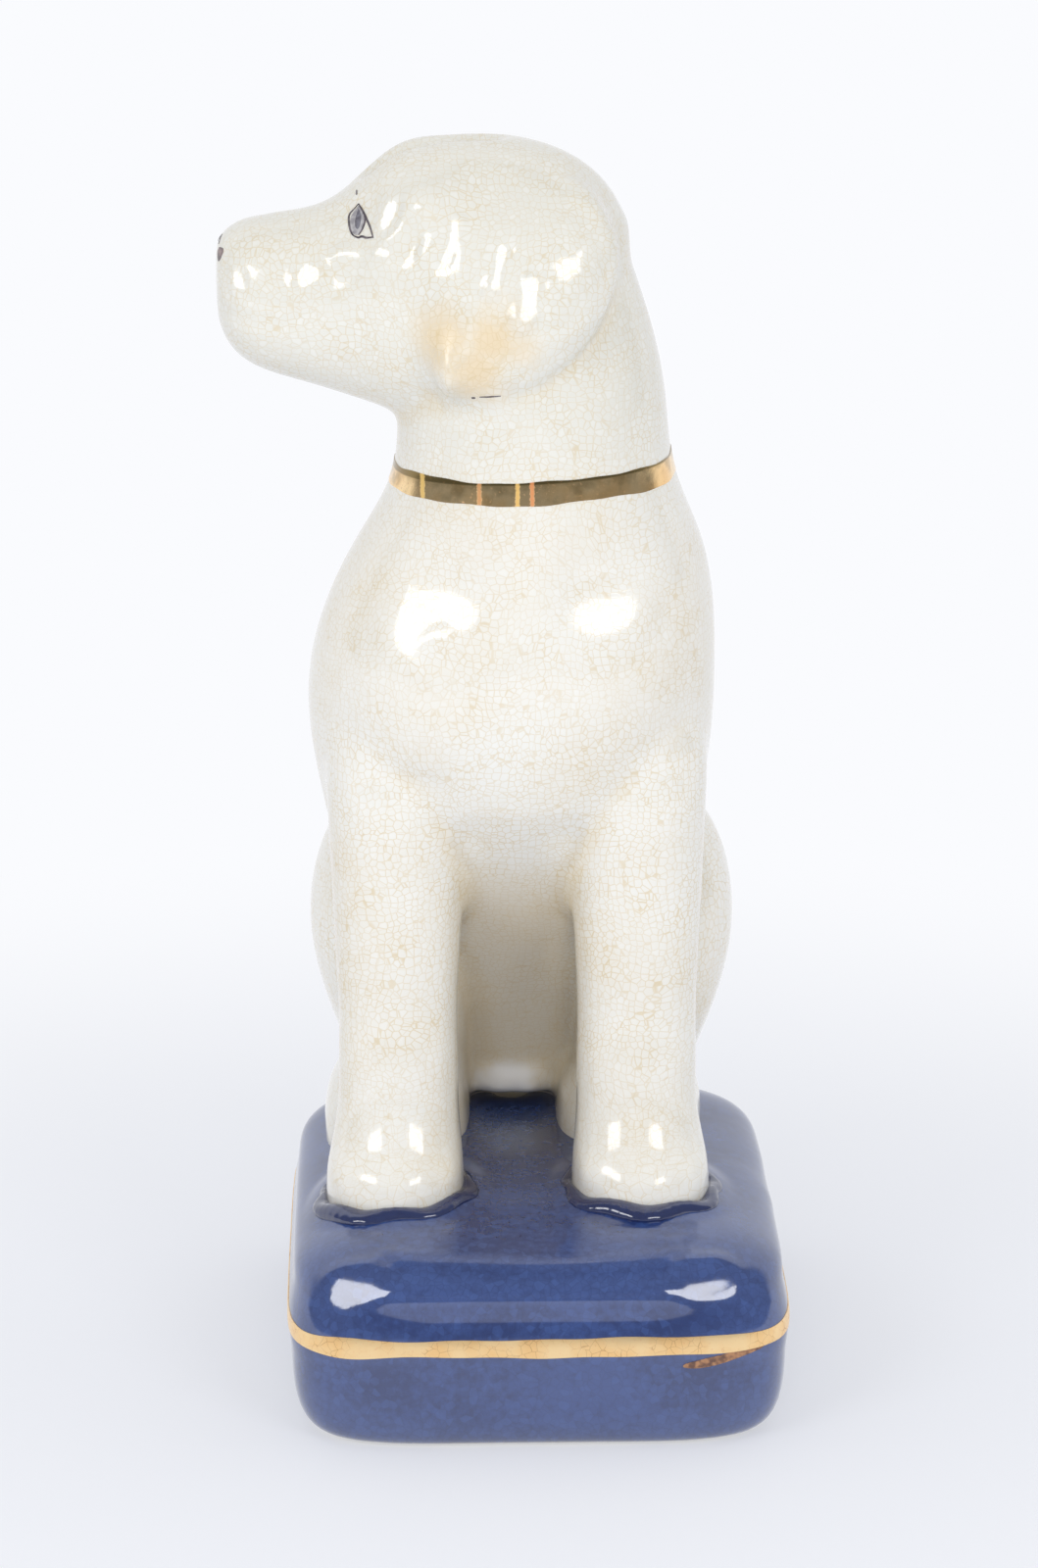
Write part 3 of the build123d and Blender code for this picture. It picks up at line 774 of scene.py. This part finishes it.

# %% [markdown]
# Gold lustre is a very thin metal film, brushed on by hand and fired. It keeps the crackle of
# the glaze under it, and wears thin in streaks across the brush's way. On the collar a painted
# dark reflection, patchy and brown, darkens its upper half and its edges.

# %% Gold lustre
streak_pixels = [(431, 495), (489, 505), (528, 507), (543, 507)]
streak_places = skin_hits(skin_tree, streak_pixels)
streak_half = 0.5 * mm
dark_reflection_reach = 2.1 * mm
streak_tones = [rgb(238, 198, 112), rgb(206, 146, 92), rgb(236, 190, 104), rgb(224, 140, 82)]


def gold_lustre(name, roughness, crazed, streaks):
    """Brushed gold film with fine brown cracks and thin worn streaks, and a painted dark reflection on the
    collar.
    """
    material, start, place, shader = new_finish(name)
    across, back, height = (start.node("SeparateXYZ", None, {0: place}, out=axis) for axis in range(3))
    mottle = noise_at(start, place, 160.0, 3.0)
    edge, _ = crack_net(start, shaken(start, place, 400.0, 0.8 * mm), 650.0, 1.0)
    net = edge.ease(0.03, 0.0) * mottle.ease(0.40, 0.60) * crazed
    grain = noise_at(start, place, 2500.0, 2.0)
    thin = grain.ease(0.62, 0.72) * 0.3
    colour = mottle.ease(0.35, 0.65).blend((0.97, 0.72, 0.40, 1), (0.94, 0.62, 0.29, 1))
    if streaks:
        # Painted dark reflection: the collar's upper half and its edges are darkened to a patchy brown.
        level = (height - across * math.tan(collar_tilt) - collar_centre.z) * (1 / dark_reflection_reach)
        dark_reflection_noise = noise_at(start, place, 380.0, 3.0)
        shade = (level + (dark_reflection_noise - 0.5) * 4.5).ease(-0.4, 1.4) * 0.45
        shade = start.math("MAXIMUM", shade, start.math("ABSOLUTE", level).ease(0.78, 0.98) * 0.85)
        colour = shade.blend(colour, rgb(112, 96, 52))
    colour = (thin * 0.8).blend(colour, rgb(226, 140, 84))
    for streak, tone in zip(streaks, streak_tones):
        apart = start.math("ABSOLUTE", across - streak.x + (grain - 0.5) * streak_half)
        worn = apart.ease(streak_half, 0.3 * streak_half) * back.ease(0.0, -0.01)
        colour = (worn * 0.85).blend(colour, tone)
        thin = start.math("MAXIMUM", thin, worn)
    colour = (net * 0.6).blend(colour, rgb(126, 74, 40))
    drive(shader, "Base Color", colour)
    drive(shader, "Roughness", roughness + net * 0.2 + thin * 0.3)
    drive(shader, "Metallic", 1 - net * 0.5 - thin * 0.7)
    bump = start.node("Bump", None, {"Strength": 0.25, "Distance": 0.04 * mm, "Height": grain})
    drive(shader, "Normal", bump)
    return material


collar_finish = gold_lustre("collar_lustre", 0.16, 0.0, streak_places)
line_finish = gold_lustre("line_lustre", 0.30, 1.0, [])
print("two gold finishes")

# %% [markdown]
# The eyes and the nose are a few strokes of dark enamel, thin enough to look grey at the edges,
# and the slab underneath is bare fired clay, rough and a little dusty.

# %% Enamel and bare clay
def enamel(name, dark, pale):
    """Thin painted enamel, patchy as a brush leaves it."""
    material, start, place, shader = new_finish(name)
    patch = noise_at(start, place, 900.0, 2.0)
    drive(shader, "Base Color", patch.ease(0.35, 0.68).blend(dark, pale))
    drive(shader, "Roughness", 0.10 + patch * 0.12)
    return material


def bare_clay():
    """Unglazed clay with fine grit and a few dark specks."""
    material, start, place, shader = new_finish("bare_clay")
    cloud = noise_at(start, place, 90.0, 3.0)
    grit = noise_at(start, place, 1800.0, 2.0)
    colour = cloud.ease(0.35, 0.65).blend(rgb(222, 212, 192), rgb(206, 192, 166))
    colour = (grit.ease(0.64, 0.72) * 0.5).blend(colour, rgb(150, 128, 100))
    drive(shader, "Base Color", colour)
    drive(shader, "Roughness", 0.75 + grit * 0.2)
    bump = start.node("Bump", None, {"Strength": 0.5, "Distance": 0.1 * mm, "Height": grit})
    drive(shader, "Normal", bump)
    return material


line_enamel = enamel("line_enamel", rgb(74, 68, 74), rgb(118, 110, 114))
iris_enamel = enamel("iris_enamel", rgb(150, 147, 150), rgb(186, 184, 184))
pupil_enamel = enamel("pupil_enamel", rgb(88, 84, 90), rgb(128, 127, 136))
smear_enamel = enamel("smear_enamel", rgb(104, 74, 62), rgb(178, 130, 92))
nostril_enamel = enamel("nostril_enamel", rgb(92, 78, 80), rgb(150, 124, 118))
nodes["base_slab"].data.materials.clear()
nodes["base_slab"].data.materials.append(bare_clay())
print("enamels and clay")

# %% [markdown]
# With the finishes ready, the skins become pieces, and each hides the CAD nodes that it stands for.

# %% Dog and cushion pieces
head_nodes = ["head", "ear_left", "ear_right"]
body_nodes = [name for name in dog_nodes if name not in head_nodes]
finish_piece("head_glaze", head_skin, cream_finish, head_nodes)
finish_piece("body_glaze", body_skin, cream_finish, body_nodes)
finish_piece("cushion_glaze", cushion_skin, cobalt_finish, ["cushion"])
for name, bead in beads.items():
    finish_piece(name + "_bead", bead, bead_finish, [name])

# %% [markdown]
# A gold band follows the skin under it, with edges that wander as a brush does. A straight cut
# can make a wandering edge if the skin is bent first: it is moved so that the edges become
# level, cut by two level planes, and moved back. Then the ring is lifted off by the film's depth.

# %% Gold bands
film = 0.10 * mm


def gold_band(source, centre, half_width, lift):
    """Cut a ring from a skin between two edges, given by their middle and half-width."""
    ring = source.copy()
    away = [v for v in ring.verts if abs(v.co.z - centre(v.co)) > 4 * half_width(v.co) + 2 * mm]
    bmesh.ops.delete(ring, geom=away, context="VERTS")
    for vert in ring.verts:
        vert.co.z = (vert.co.z - centre(vert.co)) / half_width(vert.co)
    for way in (1, -1):
        bmesh.ops.bisect_plane(
            ring, geom=ring.verts[:] + ring.edges[:] + ring.faces[:], dist=1e-6,
            plane_co=(0, 0, way), plane_no=(0, 0, way), clear_outer=True,
        )
    for vert in ring.verts:
        vert.co.z = vert.co.z * half_width(vert.co) + centre(vert.co)
    ring.normal_update()
    for vert in ring.verts:
        vert.co += vert.normal * lift
    bmesh.ops.solidify(ring, geom=ring.faces[:], thickness=lift)
    bmesh.ops.recalc_face_normals(ring, faces=ring.faces[:])
    return ring


blob_angle = math.radians(-124)
blob_spread = math.radians(6)
throat_reach = 26 * mm


def collar_middle(co):
    """The collar's level at a place round the neck, drawn up over the throat."""
    angle = math.atan2(co.y, co.x)
    throat = min(1.0, max(0.0, -co.x / throat_reach))
    painted = 0.45 + 0.9 * throat * throat + 0.10 * math.sin(5 * angle + 1.0)
    return collar_centre.z + co.x * math.tan(collar_tilt) + painted * mm


def collar_half(co):
    """Half the collar's width at a place round the neck."""
    angle = math.atan2(co.y, co.x)
    return (1.82 + 0.10 * math.sin(7 * angle) + 0.07 * math.sin(17 * angle + 2.0)) * mm


def line_middle(co):
    """The gold line's level at a place round the cushion, a little higher in front."""
    angle = math.atan2(co.y, co.x)
    front = max(0.0, -math.sin(angle))
    right = 1 + math.cos(angle)
    wander = 0.15 * math.sin(2 * angle) + 0.12 * math.sin(9 * angle)
    return (18.0 + 0.35 * front + 0.5 * right + wander) * mm


def line_half(co):
    """Half the gold line's width at a place round the cushion."""
    angle = math.atan2(co.y, co.x)
    blob = math.exp(-(((angle - blob_angle) / blob_spread) ** 2))
    return (1.42 + 0.5 * blob + 0.18 * math.sin(4 * angle + 0.8) + 0.08 * math.sin(23 * angle)) * mm


collar_band = gold_band(skin, collar_middle, collar_half, film)
finish_piece("collar_gold", collar_band, collar_finish, ["collar"])
line_band = gold_band(cushion_skin, line_middle, line_half, film)
finish_piece("cushion_line_gold", line_band, line_finish, ["cushion_line"])

# %% [markdown]
# Each painted mark is a stroke: a short edge, as wide as the brush, dragged over the skin. The
# strokes follow pixels of the photograph, found on the skin by the camera's own rays, and the
# far eye is the near one mirrored and laid back on the skin.

# %% Painted strokes
paint = 0.07 * mm
pixel = 0.165 * mm
head_tree = BVHTree.FromBMesh(head_skin)


def stroke(bm, pixels, width, taper=0.35, tree=head_tree):
    """Drag an edge along pixels of the photograph, over a skin."""
    track = []
    for across, down in path_points(pixels):
        hit, normal, _, _ = tree.ray_cast(camera_place, photo_ray(across, down))
        if hit is not None:
            track.append((hit, normal))
    edge = None
    for step, (hit, normal) in enumerate(track):
        ahead = track[min(step + 1, len(track) - 1)][0] - track[max(step - 1, 0)][0]
        share = math.sin(math.pi * step / (len(track) - 1))
        side = ahead.cross(normal).normalized() * (width / 2 * (taper + (1 - taper) * share))
        ends = (hit - side + normal * paint, hit + side + normal * paint)
        if edge is None:
            edge = bm.edges.new([bm.verts.new(end) for end in ends])
            continue
        grown = bmesh.ops.extrude_edge_only(bm, edges=[edge])["geom"]
        verts = [item for item in grown if isinstance(item, bmesh.types.BMVert)]
        edge = next(item for item in grown if isinstance(item, bmesh.types.BMEdge))
        verts.sort(key=lambda vert: (vert.co - ends[0]).length - (vert.co - ends[1]).length)
        verts[0].co = ends[0]
        verts[1].co = ends[1]


def filled(bm, pixels, lift):
    """Fill an outline of pixels with paint, laid on the skin."""
    track = []
    for across, down in path_points(pixels + pixels[:1]):
        hit, normal, _, _ = head_tree.ray_cast(camera_place, photo_ray(across, down))
        if hit is not None:
            track.append(hit + normal * lift)
    verts = [bm.verts.new(point) for point in track[:-1]]
    face = bmesh.ops.contextual_create(bm, geom=verts)["faces"]
    bmesh.ops.poke(bm, faces=face)


def lay_on(bm, lift, tree):
    """Set every point of a mark at one height over a skin."""
    for vert in bm.verts:
        hit, normal, _, _ = tree.find_nearest(vert.co)
        vert.co = hit + normal * lift


def painted(name, draw, lift, material, replaced=(), sides=("left",), tree=head_tree):
    """A painted mark as a piece, on one side of the head or on both."""
    for side in sides:
        mark = bmesh.new()
        draw(mark)
        if side == "right":
            for vert in mark.verts:
                vert.co = other_side(vert.co)
        lay_on(mark, lift, tree)
        bmesh.ops.recalc_face_normals(mark, faces=mark.faces[:])
        mark.normal_update()
        for face in mark.faces:
            normal = tree.find_nearest(face.calc_center_median())[1]
            if face.normal.dot(normal) < 0:
                face.normal_flip()
        bmesh.ops.solidify(mark, geom=mark.faces[:], thickness=paint * 0.8)
        bmesh.ops.recalc_face_normals(mark, faces=mark.faces[:])
        title = name if len(sides) == 1 else f"{name}_{side}"
        finish_piece(title, mark, material, [f"{node}_{side}" for node in replaced])
        mark.free()


eye_outline = [(366, 208), (361, 214), (356, 219), (356, 228), (358, 237), (361, 241), (366, 243)]
eye_floor = [(362, 241), (366, 243), (369, 241), (374, 243), (381, 242)]
eye_lid = [(366, 208), (371, 216), (374, 223), (378, 232), (381, 243)]
iris_edge = [(372, 219), (373, 224), (372, 228), (370, 234), (366, 240)]
iris_area = [(366, 210), (371, 217), (372, 226), (369, 235), (365, 241), (359, 238), (357, 228), (358, 220)]
pupil_area = [(366, 213), (369, 219), (368, 228), (365, 235), (362, 231), (363, 221)]


def draw_eye_lines(mark):
    """The lids, the lower edge and the edge of the iris."""
    for pixels, width in ((eye_outline, 1.9), (eye_floor, 2.3), (eye_lid, 2.2), (iris_edge, 2.0)):
        stroke(mark, pixels, width * pixel)
    stroke(mark, [(364, 194), (364, 199)], 1.6 * pixel)


both = ("left", "right")
painted("eye_iris", lambda mark: filled(mark, iris_area, paint), paint * 0.7, iris_enamel, (), both)
painted("eye_pupil", lambda mark: filled(mark, pupil_area, paint), paint * 1.1, pupil_enamel, (), both)
painted("eye_lines", draw_eye_lines, paint * 1.5, line_enamel, ("eye",), both)

# %% [markdown]
# The nose has a dark line over its tip and a nostril on each side of it.

# %% Nose
nose_arc = [(233, 228), (229, 234), (225, 242), (223, 249)]
nostril_area = [(224, 252), (228, 253), (228, 257), (226, 262), (223, 268), (222, 262), (222, 256)]


def draw_nostril(mark):
    """One nostril, a filled drop."""
    filled(mark, nostril_area, paint)


def draw_nose_line(mark):
    """Half of the line over the tip of the nose."""
    stroke(mark, nose_arc, 2.4 * pixel, 0.5)


painted("nostril", draw_nostril, paint, nostril_enamel, (), both)
painted("nose_line", draw_nose_line, paint, line_enamel, (), both)
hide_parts("nose")

# %% [markdown]
# Two slips of the brush are part of the piece: dark flecks under the near ear, and a brown smear
# of worn gold below the line on the cushion's front.

# %% Slips of the brush
cushion_front = BVHTree.FromBMesh(cushion_skin)


def draw_flecks(mark):
    """A dot and a short dash under the lobe."""
    stroke(mark, [(481, 406), (485, 406)], 2.6 * pixel)
    stroke(mark, [(489, 405), (499, 405), (511, 404)], 1.5 * pixel)


def draw_smear(mark):
    """One wide stroke that fades to a point."""
    smear = [(697, 1394), (715, 1392), (740, 1386), (779, 1373)]
    stroke(mark, smear, 10.0 * pixel, 0.15, cushion_front)


painted("ear_flecks", draw_flecks, paint, line_enamel)
painted("line_smear", draw_smear, paint, smear_enamel, tree=cushion_front)

# %% [markdown]
# The photograph has a white studio floor that runs up into a white backdrop. The floor is pale
# and takes the dog's shadow near it. Further out, where the picture is plain white, the camera
# and the reflections see white. In front, where the camera stood, the room was dim, and the glaze
# mirrors that too.

# %% Floor
studio_white = rgb(250, 251, 254)
room_shade = (0.26, 0.27, 0.28, 1)
floor_grey = rgb(230, 233, 241)
floor_mesh = bpy.data.meshes.new("floor")
floor_bm = bmesh.new()
bmesh.ops.create_grid(floor_bm, x_segments=8, y_segments=8, size=12)
floor_bm.to_mesh(floor_mesh)
floor_bm.free()
floor = bpy.data.objects.new("floor", floor_mesh)
bpy.context.scene.collection.objects.link(floor)
floor_finish, start, place, shader = new_finish("studio_floor")
distance = start.node("VectorMath", {"operation": "LENGTH"}, {0: place}, out="Value")
seen = start.node("LightPath", out="Is Camera Ray")
mirrored = start.node("LightPath", out="Is Glossy Ray")
white = start.node("Emission", None, {"Color": studio_white, "Strength": 1.0})
shader.inputs["Base Color"].default_value = floor_grey
shader.inputs["Roughness"].default_value = 0.9
shader.inputs["Specular IOR Level"].default_value = 0.0
lit = Socket(start.tree, shader.outputs[0])
forward = start.node("SeparateXYZ", None, {0: place}, out=1)
dim_room = start.node("Emission", None, {"Color": room_shade, "Strength": 1.0})
mirror_room = start.node("MixShader", None, {0: forward.ease(-0.60, -0.95), 1: white, 2: dim_room})
far = seen * (0.48 + distance.ease(0.07, 0.30) * 0.52)
floor_seen = start.node("MixShader", None, {0: far, 1: lit, 2: white})
mirror_share = mirrored * (0.75 + distance.ease(0.06, 0.15) * 0.25)
floor_mix = start.node("MixShader", None, {0: mirror_share, 1: floor_seen, 2: mirror_room})
output = start.tree.nodes["Material Output"]
start.tree.links.new(floor_mix.output, output.inputs["Surface"])
floor_mesh.materials.append(floor_finish)
print("floor with", len(start.tree.nodes), "nodes")

# %% [markdown]
# The world is the backdrop and the soft fill. The camera sees it white, mirrors see a white studio
# with a dim front, and the fill that lights the dog is weaker from the front.

# %% Backdrop and fill
fill_back = (0.84, 0.85, 0.87, 1)
fill_front = (0.36, 0.36, 0.38, 1)
world = bpy.data.worlds.new("studio")
bpy.context.scene.world = world
world.use_nodes = True
sky = Socket(world.node_tree)
way = sky.node("TexCoord", out="Generated")
toward = sky.node("SeparateXYZ", None, {0: way}, out=1)
mirrored = sky.node("LightPath", out="Is Glossy Ray")
seen = sky.node("LightPath", out="Is Camera Ray")
room = toward.ease(0.45, 0.22).blend(studio_white, room_shade)
fill = toward.ease(0.2, -0.8).blend(fill_back, fill_front)
colour = mirrored.blend(fill, room)
colour = seen.blend(colour, studio_white)
background = world.node_tree.nodes["Background"]
world.node_tree.links.new(colour.output, background.inputs["Color"])
background.inputs["Strength"].default_value = 1.0
print("backdrop with", len(world.node_tree.nodes), "nodes")

# %% [markdown]
# The two soft boxes stand in their places now. A third lamp, by the camera, only fills the shade
# between the legs and isn't mirrored.

# %% Lights
def soft_box(name, place, width, height, radiance, mirrored=True):
    """A rectangular lamp of a given radiance at a place, pointed at the chest."""
    lamp = bpy.data.lights.new(name, "AREA")
    lamp.shape = "RECTANGLE"
    lamp.size = width
    lamp.size_y = height
    lamp.energy = radiance * math.pi * width * height
    box = bpy.data.objects.new(name, lamp)
    bpy.context.scene.collection.objects.link(box)
    box.visible_glossy = mirrored
    turn = (chest - place).to_track_quat("-Z", "Y").to_matrix().to_4x4()
    box.matrix_world = Matrix.Translation(place) @ turn
    print(name, round(lamp.energy, 1), "W")


soft_box("box_left", left_box, width=0.44, height=0.30, radiance=5.8)
soft_box("box_right", right_box, width=0.42, height=0.28, radiance=5.8)
soft_box("box_front", front_box, width=0.50, height=0.40, radiance=5.0, mirrored=False)
bpy.context.scene.view_settings.view_transform = "Standard"

# %% [markdown]
# Last, the working meshes are freed.

# %% Free the meshes
for bm in (skin, head_skin, body_skin, cushion_skin, collar_band, line_band, *beads.values()):
    bm.free()
